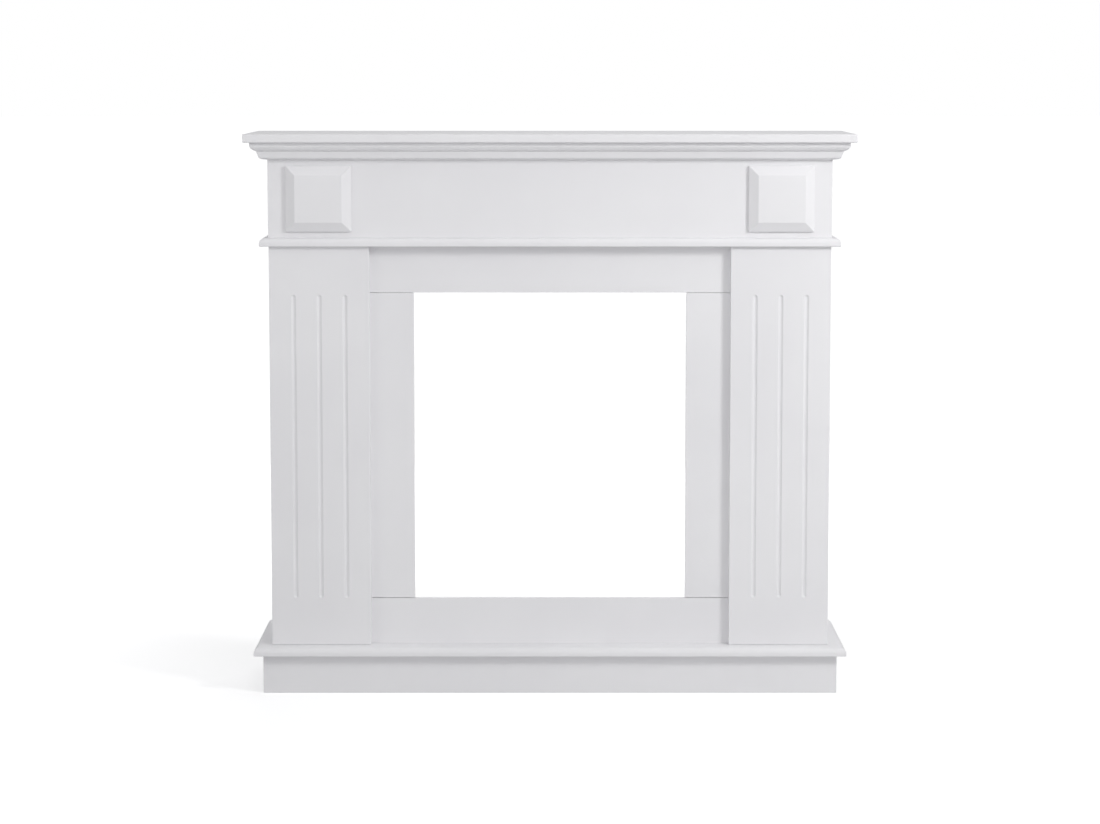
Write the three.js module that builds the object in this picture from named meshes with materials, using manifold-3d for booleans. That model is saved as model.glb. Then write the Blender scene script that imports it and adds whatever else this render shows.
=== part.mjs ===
import * as THREE from "three";
import { mergeVertices } from "three/addons/utils/BufferGeometryUtils.js";
import Module from "manifold-3d";

// A freestanding fireplace surround built from white painted fibreboard, in millimetres.
// +Z is up and the front faces -Y. The origin is on the floor, under the middle of the shelf.

// Overall sizes, which are also the shelf's
const overallWidth = 1080;
const overallDepth = 280;
const overallHeight = 1000;

// Boards and the hairlines between them
const boardThickness = 15;
const frameBoardThickness = 10;
const jointGap = 0.3;
const frameJointGap = 0.8;

// How far each part of the top stands in from the one above it, at the front and at both ends
const crownUpperSetback = 11;
const crownLowerSetback = 11;
const friezeSetback = 18;
const friezeHeight = 138;
const ledgeOverhang = 15;

// Columns
const columnWidth = 178;
const columnProud = 5; // face of the column in front of the frieze
const columnEndSetback = 1.25; // side of the column behind the end of the frieze
const grooveCount = 3;
const grooveSpacing = 45.5;
const grooveWidth = 8;
const grooveDepth = 2.6;
const grooveEndMargin = 86;

// Raised blocks over the columns
const blockSize = 116;
const blockFaceSize = 83;
const blockThickness = 15;
const blockEdgeThickness = 5;

// Inner frame round the fire
const openingWidth = 485;
const frameRailHeight = 82.5;
const frameTuck = 15; // width of the frame hidden behind each column face

// Hearth board and plinth
const hearthFrontOverhang = 31;
const hearthEndOverhang = 31;
const plinthHeight = 69;
const plinthSetback = 16;

// Edges of the boards. The upper crown board is upright above and bows in below. The lower one tapers
// a little and then turns under. Ledge and hearth board are rounded over on their upper edge.
const crownSlopeWidth = 10.5;
const crownSlopeHeight = 8.5;
const crownSlopeBulge = 2.2;
const crownTaper = 3.5;
const crownUnderWidth = 9;
const crownUnderHeight = 5;
const ledgeRadius = 9;
const hearthRadius = 10;
const shelfEase = 2;
const smallEase = 1;

// How finely curves are faceted, and how near two corners are that count as one
const arcSteps = 6;
const grooveEndSteps = 4;
const grooveRoundSteps = 16;
const weldDistance = 1e-4;

// Planes worked out from the sizes above
const backY = overallDepth / 2;
const shelfFrontY = -overallDepth / 2;
const crownUpperFrontY = shelfFrontY + crownUpperSetback;
const crownLowerFrontY = crownUpperFrontY + crownLowerSetback;
const friezeFrontY = crownLowerFrontY + friezeSetback;
const ledgeFrontY = friezeFrontY - ledgeOverhang;
const columnFrontY = friezeFrontY - columnProud;
const frameFrontY = columnFrontY + boardThickness + jointGap;
const hearthFrontY = columnFrontY - hearthFrontOverhang;
const plinthFrontY = hearthFrontY + plinthSetback;

const shelfHalfWidth = overallWidth / 2;
const crownUpperHalfWidth = shelfHalfWidth - crownUpperSetback;
const crownLowerHalfWidth = crownUpperHalfWidth - crownLowerSetback;
const friezeHalfWidth = crownLowerHalfWidth - friezeSetback;
const ledgeHalfWidth = friezeHalfWidth + ledgeOverhang;
const columnOuterX = friezeHalfWidth - columnEndSetback;
const columnInnerX = columnOuterX - columnWidth;
const columnCentreX = (columnOuterX + columnInnerX) / 2;
const hearthHalfWidth = columnOuterX + hearthEndOverhang;
const plinthHalfWidth = hearthHalfWidth - plinthSetback;

const hearthBottomZ = plinthHeight + jointGap;
const columnBottomZ = hearthBottomZ + boardThickness + jointGap;
const shelfBottomZ = overallHeight - boardThickness;
const crownUpperBottomZ = shelfBottomZ - jointGap - boardThickness;
const crownLowerBottomZ = crownUpperBottomZ - jointGap - boardThickness;
const friezeTopZ = crownLowerBottomZ - jointGap;
const friezeBottomZ = friezeTopZ - friezeHeight;
const ledgeBottomZ = friezeBottomZ - jointGap - boardThickness;
const columnTopZ = ledgeBottomZ - jointGap;
const columnHeight = columnTopZ - columnBottomZ;

const wasm = await Module();
wasm.setup();

const surround = new THREE.Group();

// Every board gets its own coat of the same satin white
function whitePaint() {
  return new THREE.MeshStandardMaterial({ color: 0xf1f1f2, roughness: 0.45, metalness: 0 });
}

function addPiece(name, geometry, x = 0, y = 0, z = 0) {
  const mesh = new THREE.Mesh(geometry, whitePaint());
  mesh.name = name;
  mesh.position.set(x, y, z);
  surround.add(mesh);
  return mesh;
}

// A closed geometry becomes a solid that can be joined or cut
function toSolid(geometry) {
  const bare = geometry.clone();
  bare.deleteAttribute("normal");
  bare.deleteAttribute("uv");
  const merged = mergeVertices(bare, weldDistance);
  const triangles = new Uint32Array(merged.index.array);
  const vertices = new Float32Array(merged.attributes.position.array);
  return new wasm.Manifold(new wasm.Mesh({ numProp: 3, vertProperties: vertices, triVerts: triangles }));
}

function toGeometry(solid) {
  const mesh = solid.getMesh();
  const geometry = new THREE.BufferGeometry();
  geometry.setAttribute("position", new THREE.BufferAttribute(mesh.vertProperties, 3));
  geometry.setIndex(new THREE.BufferAttribute(mesh.triVerts, 1));
  geometry.computeVertexNormals();
  return geometry;
}

// A plain board between two corners
function addBoard(name, low, high) {
  const size = high.map((value, axis) => value - low[axis]);
  const middle = high.map((value, axis) => (value + low[axis]) / 2);
  addPiece(name, new THREE.BoxGeometry(...size), ...middle);
}

// An edge with a quarter round below and one above. An edge is a path from the board's underside to
// its top, in distance in from the edge and height above the underside.
function roundedEdge(lowerRadius, upperRadius) {
  const path = new THREE.Path();
  path.absarc(lowerRadius, lowerRadius, lowerRadius, -Math.PI / 2, -Math.PI, true);
  path.absarc(upperRadius, boardThickness - upperRadius, upperRadius, Math.PI, Math.PI / 2, true);
  return path;
}

function slopedEdge() {
  const path = new THREE.Path();
  path.moveTo(crownSlopeWidth, 0);
  const middle = [crownSlopeWidth / 2 - crownSlopeBulge, crownSlopeHeight / 2 - crownSlopeBulge];
  path.quadraticCurveTo(...middle, 0, crownSlopeHeight);
  path.lineTo(0, boardThickness);
  return path;
}

function taperedEdge() {
  const path = new THREE.Path();
  const inset = crownTaper + crownUnderWidth;
  path.absellipse(inset, crownUnderHeight, crownUnderWidth, crownUnderHeight, -Math.PI / 2, -Math.PI, true);
  path.lineTo(0, boardThickness);
  return path;
}

// A horizontal board whose moulded edge runs along the front and returns round both ends. The edge is
// swept along the width and along the depth, and what the two sweeps share is the mitred board.
function addMouldedBoard(name, halfWidth, frontY, bottomZ, edge) {
  const depth = backY - frontY;
  const points = edge.getPoints(arcSteps);

  const rear = [new THREE.Vector2(depth, boardThickness), new THREE.Vector2(depth, 0)];
  const sideOutline = new THREE.Shape([...points, ...rear]);
  const alongWidth = new THREE.ExtrudeGeometry(sideOutline, { depth: 2 * halfWidth, bevelEnabled: false });
  alongWidth.rotateX(Math.PI / 2);
  alongWidth.rotateZ(Math.PI / 2);
  alongWidth.translate(-halfWidth, frontY, 0);

  const rightEnd = points.map((point) => new THREE.Vector2(halfWidth - point.x, point.y));
  const leftEnd = points.map((point) => new THREE.Vector2(point.x - halfWidth, point.y)).reverse();
  const frontOutline = new THREE.Shape([...rightEnd, ...leftEnd]);
  const alongDepth = new THREE.ExtrudeGeometry(frontOutline, { depth, bevelEnabled: false });
  alongDepth.rotateX(Math.PI / 2);
  alongDepth.translate(0, backY, 0);

  const board = toSolid(alongWidth).intersect(toSolid(alongDepth));
  addPiece(name, toGeometry(board), 0, 0, bottomZ);
}

// Shelf and crown
const easedEdge = roundedEdge(shelfEase, shelfEase);
addMouldedBoard("mantel_shelf", shelfHalfWidth, shelfFrontY, shelfBottomZ, easedEdge);
addMouldedBoard("crown_upper", crownUpperHalfWidth, crownUpperFrontY, crownUpperBottomZ, slopedEdge());
addMouldedBoard("crown_lower", crownLowerHalfWidth, crownLowerFrontY, crownLowerBottomZ, taperedEdge());

// Ledge and hearth board
const ledgeEdge = roundedEdge(smallEase, ledgeRadius);
const hearthEdge = roundedEdge(smallEase, hearthRadius);
addMouldedBoard("ledge", ledgeHalfWidth, ledgeFrontY, ledgeBottomZ, ledgeEdge);
addMouldedBoard("hearth_slab", hearthHalfWidth, hearthFrontY, hearthBottomZ, hearthEdge);

// An open-backed box of three boards: a front that covers the edges of two ends
function addThreeBoardBox(name, halfWidth, frontY, bottomZ, topZ) {
  const endFrontY = frontY + boardThickness + jointGap;
  const innerX = halfWidth - boardThickness;
  addBoard(`${name}_front`, [-halfWidth, frontY, bottomZ], [halfWidth, frontY + boardThickness, topZ]);
  addBoard(`${name}_side_left`, [-halfWidth, endFrontY, bottomZ], [-innerX, backY, topZ]);
  addBoard(`${name}_side_right`, [innerX, endFrontY, bottomZ], [halfWidth, backY, topZ]);
}

addThreeBoardBox("frieze", friezeHalfWidth, friezeFrontY, friezeBottomZ, friezeTopZ);
addThreeBoardBox("plinth", plinthHalfWidth, plinthFrontY, 0, plinthHeight);

// A square block that rises from a short upright edge by a bevel to its flat face. A turned outline
// with four sides is a square one, whose corners lie at the root of two times the half width.
function blockGeometry() {
  const cornerOf = (size) => (size / 2) * Math.SQRT2;
  const outline = [
    new THREE.Vector2(0, 0),
    new THREE.Vector2(cornerOf(blockSize), 0),
    new THREE.Vector2(cornerOf(blockSize), blockEdgeThickness),
    new THREE.Vector2(cornerOf(blockFaceSize), blockThickness),
    new THREE.Vector2(0, blockThickness),
  ];
  const squareSides = 4;
  const block = new THREE.LatheGeometry(outline, squareSides);
  block.rotateY(Math.PI / 4);
  block.rotateX(Math.PI);
  return toGeometry(toSolid(block));
}

// A front board of a column with its round-ended grooves. Each groove is a capsule sunk into the face,
// whose radius follows from the groove's width and depth.
function columnFrontGeometry() {
  const grooveRadius = (grooveWidth ** 2 / 4 + grooveDepth ** 2) / (2 * grooveDepth);
  const straightLength = columnHeight - 2 * grooveEndMargin - grooveWidth;
  let board = toSolid(new THREE.BoxGeometry(columnWidth, boardThickness, columnHeight));
  for (let index = 0; index < grooveCount; index += 1) {
    const cutter = new THREE.CapsuleGeometry(grooveRadius, straightLength, grooveEndSteps, grooveRoundSteps);
    cutter.rotateX(Math.PI / 2);
    const x = (index - (grooveCount - 1) / 2) * grooveSpacing;
    cutter.translate(x, -boardThickness / 2 - grooveRadius + grooveDepth, 0);
    board = board.subtract(toSolid(cutter));
  }
  return toGeometry(board);
}

// Everything that stands once on the left and once on the right. Distances across are from the middle.
const frameBackY = frameFrontY + frameBoardThickness;
const frameHalfWidth = columnInnerX + frameTuck;
const bottomRailTopZ = columnBottomZ + frameRailHeight;
const topRailBottomZ = columnTopZ - frameRailHeight;
const columnHeights = [columnBottomZ, columnTopZ];
const stileInnerX = openingWidth / 2;
const stileHeights = [bottomRailTopZ + frameJointGap, topRailBottomZ - frameJointGap];

function addSideBoard(name, side, acrossFrom, acrossTo, frontY, rearY, heights) {
  const [lowX, highX] = side === "left" ? [-acrossTo, -acrossFrom] : [acrossFrom, acrossTo];
  addBoard(`${name}_${side}`, [lowX, frontY, heights[0]], [highX, rearY, heights[1]]);
}

for (const side of ["left", "right"]) {
  const centreX = side === "left" ? -columnCentreX : columnCentreX;
  const frontMiddleY = columnFrontY + boardThickness / 2;
  const columnMiddleZ = (columnBottomZ + columnTopZ) / 2;
  addPiece(`pilaster_front_${side}`, columnFrontGeometry(), centreX, frontMiddleY, columnMiddleZ);

  const blockBackY = friezeFrontY - jointGap;
  addPiece(`block_${side}`, blockGeometry(), centreX, blockBackY, (friezeBottomZ + friezeTopZ) / 2);

  const outerFrom = columnOuterX - boardThickness;
  const innerTo = columnInnerX + boardThickness;
  const innerFrontY = frameBackY + jointGap;
  addSideBoard("pilaster_outer_side", side, outerFrom, columnOuterX, frameFrontY, backY, columnHeights);
  addSideBoard("pilaster_inner_side", side, columnInnerX, innerTo, innerFrontY, backY, columnHeights);
  addSideBoard("frame_stile", side, stileInnerX, frameHalfWidth, frameFrontY, frameBackY, stileHeights);
}

// Rails of the inner frame, under and over the opening
function addRail(name, bottomZ, topZ) {
  addBoard(name, [-frameHalfWidth, frameFrontY, bottomZ], [frameHalfWidth, frameBackY, topZ]);
}

addRail("frame_bottom_rail", columnBottomZ, bottomRailTopZ);
addRail("frame_top_rail", topRailBottomZ, columnTopZ);

export default surround;
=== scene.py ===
import math

import bmesh
import bpy
import numpy as np
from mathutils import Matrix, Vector


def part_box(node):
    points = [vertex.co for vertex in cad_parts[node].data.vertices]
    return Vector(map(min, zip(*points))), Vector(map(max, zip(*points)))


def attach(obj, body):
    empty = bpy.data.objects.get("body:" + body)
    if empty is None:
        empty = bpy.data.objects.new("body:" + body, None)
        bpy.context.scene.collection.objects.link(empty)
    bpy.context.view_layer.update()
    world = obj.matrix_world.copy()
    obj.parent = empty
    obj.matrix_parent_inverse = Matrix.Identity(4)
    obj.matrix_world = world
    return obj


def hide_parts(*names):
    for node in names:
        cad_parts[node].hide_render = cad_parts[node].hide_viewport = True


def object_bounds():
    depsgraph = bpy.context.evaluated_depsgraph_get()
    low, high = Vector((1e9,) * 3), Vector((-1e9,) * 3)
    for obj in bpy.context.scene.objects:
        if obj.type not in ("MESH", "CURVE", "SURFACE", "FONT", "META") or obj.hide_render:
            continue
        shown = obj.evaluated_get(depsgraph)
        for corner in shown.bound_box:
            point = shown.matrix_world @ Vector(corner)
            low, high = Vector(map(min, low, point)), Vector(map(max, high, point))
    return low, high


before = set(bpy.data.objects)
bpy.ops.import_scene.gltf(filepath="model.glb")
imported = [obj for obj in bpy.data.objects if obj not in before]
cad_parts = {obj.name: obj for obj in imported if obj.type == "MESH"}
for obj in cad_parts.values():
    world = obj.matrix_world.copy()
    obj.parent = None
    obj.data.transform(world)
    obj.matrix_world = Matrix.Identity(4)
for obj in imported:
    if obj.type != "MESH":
        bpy.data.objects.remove(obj)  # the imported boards, in metres, front towards -Y
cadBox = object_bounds()
mm = 0.001
print("boards loaded:", len(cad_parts))

# PAINT

# Speckles are noise: how many to a metre, how many finer layers, how strong those are.
satinPaint = {
    "white": (0.87, 0.865, 0.879),
    "thinCoat": (0.844, 0.838, 0.855),  # faint patches where the coat is thinner
    "patches": {"perMetre": 4.0, "detail": 3, "roughness": 0.5},
    "patchLevels": (0.35, 0.7),
    "sheen": (0.56, 0.70),  # roughness, from well laid coat to dry spray
    "sheenSpots": {"perMetre": 17.0, "detail": 4, "roughness": 0.6},
    "sheenLevels": (0.3, 0.7),
    "peel": {"perMetre": 520.0, "detail": 2, "roughness": 0.5},  # the orange peel of a sprayed coat
    "peelHeight": 0.05 * mm,
    "fibres": {"perMetre": 2600.0, "detail": 2, "roughness": 0.5},  # stand up under the coat
    "fibreHeight": 0.012 * mm,
}

sawnEdge = {
    "overspray": (0.70, 0.695, 0.69),
    "board": (0.47, 0.40, 0.31),  # bare fibreboard between the overspray
    "showing": (0.50, 0.72),  # noise levels between which the board starts to show
    "speck": {"perMetre": 900.0, "detail": 5, "roughness": 0.65},
    "speckOffset": (0.3, 0.1, 0.7),
    "roughness": 0.85,
    "fibreHeight": 0.12 * mm,
}

specularLevel = 0.32
whole = (0, 1)


def newMaterial(name):
    material = bpy.data.materials.new(name)
    material.use_nodes = True
    material.node_tree.nodes.clear()
    return material, material.node_tree.nodes, material.node_tree.links


def addNoise(nodes, links, vector, look):
    noise = nodes.new("ShaderNodeTexNoise")
    noise.inputs["Scale"].default_value = look["perMetre"]
    noise.inputs["Detail"].default_value = look["detail"]
    noise.inputs["Roughness"].default_value = look["roughness"]
    links.new(vector, noise.inputs["Vector"])
    return noise.outputs["Fac"]


def addRange(nodes, links, value, fromPair, toPair):
    remap = nodes.new("ShaderNodeMapRange")
    remap.interpolation_type = "SMOOTHSTEP"
    links.new(value, remap.inputs["Value"])
    for socket, number in zip(("From Min", "From Max", "To Min", "To Max"), (*fromPair, *toPair)):
        remap.inputs[socket].default_value = number
    return remap.outputs["Result"]


def addColourMix(nodes, links, factor, first, second):
    mix = nodes.new("ShaderNodeMix")
    mix.data_type = "RGBA"
    links.new(factor, mix.inputs[0])
    mix.inputs[6].default_value = (*first, 1)
    mix.inputs[7].default_value = (*second, 1)
    return mix.outputs[2]


def addBump(nodes, links, height, distance, normal=None):
    bump = nodes.new("ShaderNodeBump")
    bump.inputs["Strength"].default_value = 1.0
    bump.inputs["Distance"].default_value = distance
    links.new(height, bump.inputs["Height"])
    if normal:
        links.new(normal, bump.inputs["Normal"])
    return bump.outputs["Normal"]


def surfaceCoordinates(nodes, links, offset):
    texture = nodes.new("ShaderNodeTexCoord")
    shift = nodes.new("ShaderNodeMapping")
    shift.inputs["Location"].default_value = offset
    links.new(texture.outputs["Object"], shift.inputs["Vector"])
    return shift.outputs["Vector"]


def addSurface(nodes, links, colour, roughness, normal):
    surface = nodes.new("ShaderNodeBsdfPrincipled")
    output = nodes.new("ShaderNodeOutputMaterial")
    links.new(colour, surface.inputs["Base Color"])
    if isinstance(roughness, float):
        surface.inputs["Roughness"].default_value = roughness
    else:
        links.new(roughness, surface.inputs["Roughness"])
    surface.inputs["Specular IOR Level"].default_value = specularLevel
    links.new(normal, surface.inputs["Normal"])
    links.new(surface.outputs["BSDF"], output.inputs["Surface"])


def satinWhite(name, offset):
    material, nodes, links = newMaterial(name)
    where = surfaceCoordinates(nodes, links, offset)
    patches = addNoise(nodes, links, where, satinPaint["patches"])
    thinness = addRange(nodes, links, patches, satinPaint["patchLevels"], whole)
    colour = addColourMix(nodes, links, thinness, satinPaint["white"], satinPaint["thinCoat"])
    spots = addNoise(nodes, links, where, satinPaint["sheenSpots"])
    roughness = addRange(nodes, links, spots, satinPaint["sheenLevels"], satinPaint["sheen"])
    peel = addNoise(nodes, links, where, satinPaint["peel"])
    fibres = addNoise(nodes, links, where, satinPaint["fibres"])
    relief = addBump(nodes, links, fibres, satinPaint["fibreHeight"])
    relief = addBump(nodes, links, peel, satinPaint["peelHeight"], relief)
    addSurface(nodes, links, colour, roughness, relief)
    return material


def sawnBoardEdge(name):
    material, nodes, links = newMaterial(name)
    where = surfaceCoordinates(nodes, links, sawnEdge["speckOffset"])
    speck = addNoise(nodes, links, where, sawnEdge["speck"])
    showing = addRange(nodes, links, speck, sawnEdge["showing"], whole)
    colour = addColourMix(nodes, links, showing, sawnEdge["overspray"], sawnEdge["board"])
    relief = addBump(nodes, links, speck, sawnEdge["fibreHeight"])
    addSurface(nodes, links, colour, sawnEdge["roughness"], relief)
    return material


# Each group of boards has its own coat, so that the speckles don't run on from one to the next.
coatStep = (0.37, 1.3, 2.1)
paints = {}
for index, group in enumerate(["crown", "frieze", "columns", "frame", "base"], start=1):
    paints[group] = satinWhite("satin_white_" + group, [step * index for step in coatStep])
bareEdge = sawnBoardEdge("sawn_board_edge")
print("paint mixed:", len(paints), "coats and the sawn edge")

# BOARD MAKING

wallSideY = cadBox[1].y  # every board ends here against the wall
wallTolerance = 0.05 * mm
paintFilm = 0.13 * mm  # how far the paint fills a glued joint, from each side
sharpAngle = math.radians(38)
bothSides = ("bottom", "top")


def finishPiece(bm, name, node, paint):
    bmesh.ops.recalc_face_normals(bm, faces=bm.faces)
    for face in bm.faces:
        face.smooth = True
        atWall = all(abs(vertex.co.y - wallSideY) < wallTolerance for vertex in face.verts)
        face.material_index = 1 if atWall else 0
    mesh = bpy.data.meshes.new(name)
    bm.to_mesh(mesh)
    bm.free()
    mesh.set_sharp_from_angle(angle=sharpAngle)
    piece = bpy.data.objects.new(name, mesh)
    bpy.context.scene.collection.objects.link(piece)
    mesh.materials.append(paints[paint])
    mesh.materials.append(bareEdge)
    flats = piece.modifiers.new("flat faces stay flat", "WEIGHTED_NORMAL")
    flats.keep_sharp = True
    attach(piece, "root")
    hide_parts(node)
    return piece


# A glued end meets another board: it keeps its sharp edges, and paint fills the joint.
def addEasedBoard(node, paint, ease, glued=(), steps=3):
    low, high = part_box(node)
    bm = bmesh.new()
    bmesh.ops.create_cube(bm, size=1)
    ends = {"bottom": (-0.5, low.z - paintFilm), "top": (0.5, high.z + paintFilm)}
    gluedEnds = dict(ends[name] for name in glued)
    eased = [edge for edge in bm.edges if sum(v.co.z for v in edge.verts) / 2 not in gluedEnds]
    for vertex in bm.verts:
        end = vertex.co.z
        vertex.co = [low[i] + (vertex.co[i] + 0.5) * (high[i] - low[i]) for i in range(3)]
        vertex.co.z = gluedEnds.get(end, vertex.co.z)
    bmesh.ops.bevel(bm, geom=eased, offset=ease, segments=steps, profile=0.5, affect="EDGES")
    return finishPiece(bm, node + "_board", node, paint)


def arcPoints(centre, radii, startDegrees, endDegrees, steps):
    turn = endDegrees - startDegrees
    angles = [math.radians(startDegrees + turn * i / steps) for i in range(steps + 1)]
    return [(centre[0] + radii[0] * math.cos(a), centre[1] + radii[1] * math.sin(a)) for a in angles]


def curvePoints(start, middle, end, steps):
    shares = [i / steps for i in range(steps + 1)]
    return [tuple((1 - t) ** 2 * start + 2 * t * (1 - t) * middle + t ** 2 * end) for t in shares]


# An edge runs from the board's underside to its top, as (distance in from the edge, height).
# Corners sharper than cornerTurn get a small round of their own.
cornerTurn = math.radians(14)
cornerShare = 0.45  # of a straight stretch that a round may take at each end


def softenCorners(points, radius, steps=4):
    soft = [points[0]]
    for before, corner, after in zip(points, points[1:], points[2:]):
        a, b, c = Vector(before), Vector(corner), Vector(after)
        turn = (b - a).angle(c - b, 0)
        if turn < cornerTurn:
            soft.append(corner)
            continue
        room = cornerShare * min((b - a).length, (c - b).length)
        reach = min(radius * math.tan(turn / 2), room)
        start, end = b + (a - b).normalized() * reach, b + (c - b).normalized() * reach
        soft += curvePoints(start, b, end, steps)
    soft.append(points[-1])
    return soft


def addMouldedBoard(node, paint, edge, mitreEase, glued=(), steps=4):
    low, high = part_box(node)
    lowest, highest = edge[0], edge[-1]
    if "bottom" in glued:
        lowest = (lowest[0], lowest[1] - paintFilm)
    if "top" in glued:
        highest = (highest[0], highest[1] + paintFilm)
    bm = bmesh.new()
    rings = []
    radii = (mitreEase, mitreEase)
    for inset, height in [lowest, *edge[1:-1], highest]:
        left, right, front, z = low.x + inset, high.x - inset, low.y + inset, low.z + height
        corners = arcPoints((left + mitreEase, front + mitreEase), radii, 180, 270, steps)
        corners += arcPoints((right - mitreEase, front + mitreEase), radii, 270, 360, steps)
        outline = [(left, high.y), *corners, (right, high.y)]
        rings.append([bm.verts.new((x, y, z)) for x, y in outline])
    count = len(rings[0])
    for lower, upper in zip(rings, rings[1:]):
        for i in range(count):
            j = (i + 1) % count
            bm.faces.new((lower[i], lower[j], upper[j], upper[i]))
    bm.faces.new(rings[0][::-1])
    bm.faces.new(rings[-1])
    return finishPiece(bm, node + "_board", node, paint)


# SHELF AND CROWN

shelf = {"node": "mantel_shelf", "easeBelow": 2.0 * mm, "easeAbove": 2.0 * mm, "mitreEase": 1.2 * mm}
upperCrown = {
    "node": "crown_upper",
    "slopeWidth": 10.5 * mm,
    "slopeHeight": 8.5 * mm,
    "slopeBulge": 2.2 * mm,
    "topEase": 0.6 * mm,
    "softness": 2.5 * mm,
    "mitreEase": 0.7 * mm,
}
lowerCrown = {
    "node": "crown_lower",
    "taper": 3.5 * mm,
    "underWidth": 14.0 * mm,
    "underHeight": 5.0 * mm,
    "topEase": 0.6 * mm,
    "softness": 2.0 * mm,
    "mitreEase": 0.7 * mm,
}


def boardThickness(node):
    low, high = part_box(node)
    return high.z - low.z


def roundBelow(radius, steps):
    return arcPoints((radius, radius), (radius, radius), 270, 180, steps)


def roundAbove(node, radius, steps):
    return arcPoints((radius, boardThickness(node) - radius), (radius, radius), 180, 90, steps)


def roundedEdge(node, below, above, steps=10):
    return roundBelow(below, steps) + roundAbove(node, above, steps)


def slopedEdge(look, steps=10, topSteps=3):
    width, height, bulge = look["slopeWidth"], look["slopeHeight"], look["slopeBulge"]
    middle = Vector((width / 2 - bulge, height / 2 - bulge))
    slope = curvePoints(Vector((width, 0)), middle, Vector((0, height)), steps)
    top = roundAbove(look["node"], look["topEase"], topSteps)
    return softenCorners(slope + top, look["softness"])


def taperedEdge(look, steps=10, topSteps=3):
    width, height = look["underWidth"], look["underHeight"]
    under = arcPoints((look["taper"] + width, height), (width, height), 270, 180, steps)
    top = roundAbove(look["node"], look["topEase"], topSteps)
    return softenCorners(under + top, look["softness"])


shelfEdge = roundedEdge(shelf["node"], shelf["easeBelow"], shelf["easeAbove"])
addMouldedBoard(shelf["node"], "crown", shelfEdge, shelf["mitreEase"], glued=("bottom",))
addMouldedBoard(upperCrown["node"], "crown", slopedEdge(upperCrown), upperCrown["mitreEase"], bothSides)
addMouldedBoard(lowerCrown["node"], "crown", taperedEdge(lowerCrown), lowerCrown["mitreEase"], bothSides)
print("shelf and crown made")

# FRIEZE AND LEDGE

frieze = {"nodes": ["frieze_front", "frieze_side_left", "frieze_side_right"], "ease": 0.7 * mm}
ledge = {"node": "ledge", "easeBelow": 2.0 * mm, "roundAbove": 9.0 * mm, "mitreEase": 0.9 * mm}

for node in frieze["nodes"]:
    addEasedBoard(node, "frieze", frieze["ease"], glued=bothSides)
ledgeEdge = roundedEdge(ledge["node"], ledge["easeBelow"], ledge["roundAbove"])
addMouldedBoard(ledge["node"], "frieze", ledgeEdge, ledge["mitreEase"])
print("frieze and ledge made")

# RAISED BLOCKS

block = {
    "nodes": ["block_left", "block_right"],
    "faceSize": 83.0 * mm,
    "edgeThickness": 5.0 * mm,
    "cornerEase": 0.9 * mm,
    "arrisSoftness": 1.6 * mm,
}


def addBlock(node, steps=4):
    low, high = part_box(node)
    middleX, middleZ = (low.x + high.x) / 2, (low.z + high.z) / 2
    half, thick = (high.x - low.x) / 2, high.y - low.y
    bevel, ease = half - block["faceSize"] / 2, block["cornerEase"]
    faceRim = bevel + block["arrisSoftness"] * 2
    profile = [(0, 0), (0, block["edgeThickness"]), (bevel, thick), (faceRim, thick)]
    bm = bmesh.new()
    rings = []
    for inset, rise in softenCorners(profile, block["arrisSoftness"]):
        reach = half - inset - ease
        outline = []
        for quarter, (sideX, sideZ) in enumerate([(1, 1), (-1, 1), (-1, -1), (1, -1)]):
            centre = (middleX + sideX * reach, middleZ + sideZ * reach)
            outline += arcPoints(centre, (ease, ease), 90 * quarter, 90 * quarter + 90, steps)
        rings.append([bm.verts.new((x, high.y - rise, z)) for x, z in outline])
    count = len(rings[0])
    for inner, outer in zip(rings, rings[1:]):
        for i in range(count):
            j = (i + 1) % count
            bm.faces.new((inner[i], inner[j], outer[j], outer[i]))
    bm.faces.new(rings[0])
    bm.faces.new(rings[-1])
    return finishPiece(bm, node + "_raised", node, "frieze")


for node in block["nodes"]:
    addBlock(node)
print("raised blocks made")

# FLUTED COLUMNS

flutes = {
    "nodes": ["pilaster_front_left", "pilaster_front_right"],
    "count": 3,
    "spacing": 45.5 * mm,
    "width": 8.0 * mm,
    "depth": 2.6 * mm,
    "endMargin": 86.0 * mm,
    "lipSoftness": 0.35 * mm,
    "lipFall": 1.5,  # how fast the lip runs out into the flat face
    "cutStep": 0.4 * mm,  # distance between mesh lines across a flute and round its ends
    "cutMargin": 1.2 * mm,  # how far those close lines go on beside a flute
    "endOverlap": 1.0 * mm,  # and how far back into its straight stretch
    "edgeEase": 1.0 * mm,
    "easeAngles": (0, 20, 40, 60, 75, 90),
    "footGap": 0.35 * mm,  # the fronts hang a hair above the hearth board, which shows as a dark line
}
columnSides = {
    "nodes": [
        "pilaster_outer_side_left",
        "pilaster_outer_side_right",
        "pilaster_inner_side_left",
        "pilaster_inner_side_right",
    ],
    "ease": 0.6 * mm,
}


def fluteDepth(across, along, halfLength):
    beyond = np.maximum(np.abs(along) - halfLength, 0)  # past the straight stretch, where the end is round
    away = np.hypot(across, beyond)
    halfWidth, depth, softness = flutes["width"] / 2, flutes["depth"], flutes["lipSoftness"]
    cutter = (halfWidth ** 2 + depth ** 2) / (2 * depth)
    inside = np.sqrt(np.maximum(cutter ** 2 - away ** 2, 0)) - (cutter - depth)
    cut = np.where(away < halfWidth, inside, (halfWidth - away) * flutes["lipFall"])
    return (cut + np.sqrt(cut ** 2 + softness ** 2)) / 2


def meshLines(low, high, denseStretches, ease):
    rounds = [ease * (1 - math.cos(math.radians(angle))) for angle in flutes["easeAngles"]]
    lines = [low + r for r in rounds] + [high - r for r in rounds]
    for start, end in denseStretches:
        lines += list(np.linspace(start, end, int((end - start) / flutes["cutStep"]) + 1))
    return np.array(sorted(set(np.round(lines, 7))))


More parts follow.
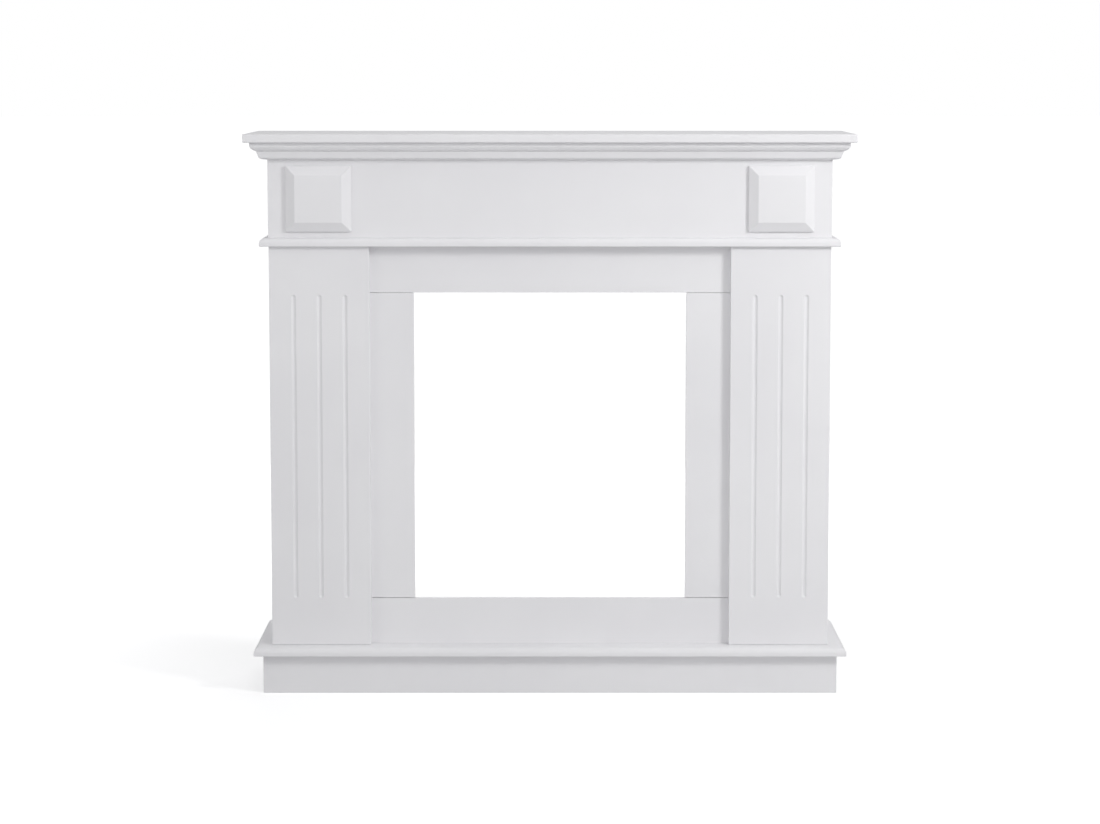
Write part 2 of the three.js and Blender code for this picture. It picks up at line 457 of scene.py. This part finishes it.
def addFlutedFront(node):
    low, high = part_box(node)
    middleX, middleZ = (low.x + high.x) / 2, (low.z + high.z) / 2
    reach = flutes["width"] / 2 + flutes["cutMargin"]
    firstX = middleX - (flutes["count"] - 1) / 2 * flutes["spacing"]
    fluteXs = [firstX + i * flutes["spacing"] for i in range(flutes["count"])]
    halfLength = (high.z - low.z) / 2 - flutes["endMargin"] - flutes["width"] / 2
    across = [(x - reach, x + reach) for x in fluteXs]
    endFrom, endTo = halfLength - flutes["endOverlap"], halfLength + reach
    ends = [(middleZ - endTo, middleZ - endFrom), (middleZ + endFrom, middleZ + endTo)]
    ease = flutes["edgeEase"]
    xs = meshLines(low.x, high.x, across, ease)
    zs = meshLines(low.z + flutes["footGap"], high.z, ends, 0)
    gridX, gridZ = np.meshgrid(xs, zs)
    intoX = np.maximum(ease - np.minimum(gridX - low.x, high.x - gridX), 0)
    back = ease - np.sqrt(np.maximum(ease ** 2 - intoX ** 2, 0))
    for x in fluteXs:
        back = back + fluteDepth(gridX - x, gridZ - middleZ, halfLength)
    bm = bmesh.new()
    grid = [
        [bm.verts.new((x, low.y + y, z)) for x, y, z in zip(rowX, rowY, rowZ)]
        for rowX, rowY, rowZ in zip(gridX, back, gridZ)
    ]
    for lower, upper in zip(grid, grid[1:]):
        for i in range(len(lower) - 1):
            bm.faces.new((lower[i], lower[i + 1], upper[i + 1], upper[i]))
    corners = [(low.x, zs[0]), (high.x, zs[0]), (high.x, zs[-1]), (low.x, zs[-1])]
    rear = [bm.verts.new((x, high.y, z)) for x, z in corners]
    bm.faces.new(rear)
    bm.faces.new([*grid[0], rear[1], rear[0]])
    bm.faces.new([*grid[-1], rear[2], rear[3]])
    bm.faces.new([*[row[0] for row in grid], rear[3], rear[0]])
    bm.faces.new([*[row[-1] for row in grid], rear[2], rear[1]])
    return finishPiece(bm, node + "_fluted", node, "columns")


for node in flutes["nodes"]:
    addFlutedFront(node)
for node in columnSides["nodes"]:
    addEasedBoard(node, "columns", columnSides["ease"], glued=bothSides)
print("fluted columns made")

# INNER FRAME

innerFrame = {
    "glued": {
        "frame_top_rail": ["top"],
        "frame_bottom_rail": ["bottom"],
        "frame_stile_left": [],
        "frame_stile_right": [],
    },
    "ease": 0.7 * mm,
}

for node, glued in innerFrame["glued"].items():
    addEasedBoard(node, "frame", innerFrame["ease"], glued)
print("inner frame made")

# HEARTH BOARD AND PLINTH

hearth = {"node": "hearth_slab", "easeBelow": 0.7 * mm, "roundAbove": 10.0 * mm, "mitreEase": 1.0 * mm}
plinth = {"nodes": ["plinth_front", "plinth_side_left", "plinth_side_right"], "ease": 0.9 * mm}

hearthEdge = roundedEdge(hearth["node"], hearth["easeBelow"], hearth["roundAbove"])
addMouldedBoard(hearth["node"], "base", hearthEdge, hearth["mitreEase"])
for node in plinth["nodes"]:
    addEasedBoard(node, "base", plinth["ease"], glued=("top",))
print("hearth board and plinth made")

# FLOOR, LIGHT AND CAMERA

floorLook = {
    "radius": 60.0,
    "sides": 96,
    "paint": (0.75, 0.75, 0.755),
    "roughness": 0.9,
    "shine": 0.1,
    "brightBetween": (1.2, 5.0),  # painted light: the floor glows and lights the boards, more from the first distance to the second
    "brightness": (0, 0.115),
    "whiteBetween": (0.55, 1.5),  # painted light: a glow that only the camera sees turns the floor white between these distances
    "whiteness": (0.46, 0.75),
}

# The sky lights the boards from all round. The camera sees plain white instead.
sky = {"tint": (0.985, 0.99, 1.0), "horizon": 0.583, "zenith": 0.363, "behind": 1.0}

surroundMiddle = (0.0, -0.1, 0.6)
softboxes = {
    "key_softbox": {"place": (1.79, -1.60, 1.74), "aim": surroundMiddle, "size": (0.57, 0.57), "power": 24.9},
    "top_softbox": {"place": (0.0, -1.5, 3.03), "aim": surroundMiddle, "size": (1.3, 1.3), "power": 6.3},
    "fill_softbox": {"place": (-2.02, -1.79, 1.56), "aim": surroundMiddle, "size": (1.3, 1.3), "power": 8.9},
    "back_softbox": {"place": (0.0, 1.70, 2.74), "aim": surroundMiddle, "size": (1.3, 1.3), "power": 8.7},
    "rear_softbox": {"place": (0.0, 2.90, 0.62), "aim": (0.0, 0.1, 0.5), "size": (1.8, 0.6), "power": 13.0},
}

viewPoint = {
    "place": (0.0, -5.296, 1.12),
    "tiltDown": 5.89,  # degrees
    "lens": 96.0,
    "sensor": 36.0,
    "shiftY": -0.04,
    "farthest": 200.0,
}


def addFloor():
    material, nodes, links = newMaterial("studio_floor")
    where = surfaceCoordinates(nodes, links, (0, 0, 0))
    distance = nodes.new("ShaderNodeVectorMath")
    distance.operation = "LENGTH"
    links.new(where, distance.inputs[0])
    surface = nodes.new("ShaderNodeBsdfPrincipled")
    output = nodes.new("ShaderNodeOutputMaterial")
    surface.inputs["Base Color"].default_value = (*floorLook["paint"], 1)
    surface.inputs["Roughness"].default_value = floorLook["roughness"]
    surface.inputs["Specular IOR Level"].default_value = floorLook["shine"]
    surface.inputs["Emission Color"].default_value = (1, 1, 1, 1)
    away = distance.outputs["Value"]
    # Painted light: the floor glows, lighting the boards for other rays and whitening itself for the camera
    floorGlowLight = addRange(nodes, links, away, floorLook["brightBetween"], floorLook["brightness"])
    seen = addRange(nodes, links, away, floorLook["whiteBetween"], floorLook["whiteness"])
    rays = nodes.new("ShaderNodeLightPath")
    glow = nodes.new("ShaderNodeMix")
    links.new(rays.outputs["Is Camera Ray"], glow.inputs[0])
    links.new(floorGlowLight, glow.inputs[2])
    links.new(seen, glow.inputs[3])
    links.new(glow.outputs[0], surface.inputs["Emission Strength"])
    links.new(surface.outputs["BSDF"], output.inputs["Surface"])
    bm = bmesh.new()
    bmesh.ops.create_circle(bm, cap_ends=True, segments=floorLook["sides"], radius=floorLook["radius"])
    mesh = bpy.data.meshes.new("studio_floor")
    bm.to_mesh(mesh)
    bm.free()
    mesh.materials.append(material)
    floor = bpy.data.objects.new("studio_floor", mesh)
    bpy.context.scene.collection.objects.link(floor)


def addSky():
    world = bpy.data.worlds.new("studio")
    bpy.context.scene.world = world
    world.use_nodes = True
    nodes, links = world.node_tree.nodes, world.node_tree.links
    nodes.clear()
    lighting = nodes.new("ShaderNodeBackground")
    lighting.inputs["Color"].default_value = (*sky["tint"], 1)
    texture = nodes.new("ShaderNodeTexCoord")
    split = nodes.new("ShaderNodeSeparateXYZ")
    links.new(texture.outputs["Generated"], split.inputs[0])
    strength = addRange(nodes, links, split.outputs["Z"], whole, (sky["horizon"], sky["zenith"]))
    links.new(strength, lighting.inputs["Strength"])
    seen = nodes.new("ShaderNodeBackground")
    seen.inputs["Color"].default_value = (1, 1, 1, 1)
    seen.inputs["Strength"].default_value = sky["behind"]
    rays = nodes.new("ShaderNodeLightPath")
    mix = nodes.new("ShaderNodeMixShader")
    output = nodes.new("ShaderNodeOutputWorld")
    links.new(rays.outputs["Is Camera Ray"], mix.inputs["Fac"])
    links.new(lighting.outputs["Background"], mix.inputs[1])
    links.new(seen.outputs["Background"], mix.inputs[2])
    links.new(mix.outputs["Shader"], output.inputs["Surface"])


def addSoftbox(name, look):
    light = bpy.data.lights.new(name, "AREA")
    light.shape = "RECTANGLE"
    light.size, light.size_y = look["size"]
    light.energy = look["power"]
    box = bpy.data.objects.new(name, light)
    box.location = look["place"]
    aim = Vector(look["aim"]) - Vector(look["place"])
    box.rotation_euler = aim.to_track_quat("-Z", "Y").to_euler()
    box.visible_camera = False
    bpy.context.scene.collection.objects.link(box)


def addCamera():
    cameraData = bpy.data.cameras.new("camera")
    cameraData.lens = viewPoint["lens"]
    cameraData.sensor_width = viewPoint["sensor"]
    cameraData.shift_y = viewPoint["shiftY"]
    cameraData.clip_end = viewPoint["farthest"]
    camera = bpy.data.objects.new("camera", cameraData)
    camera.location = viewPoint["place"]
    camera.rotation_euler = (math.radians(90 - viewPoint["tiltDown"]), 0, 0)
    bpy.context.scene.collection.objects.link(camera)
    bpy.context.scene.camera = camera


addFloor()
addSky()
for name, look in softboxes.items():
    addSoftbox(name, look)
addCamera()
bpy.context.scene.view_settings.view_transform = "Standard"
print("studio set up")
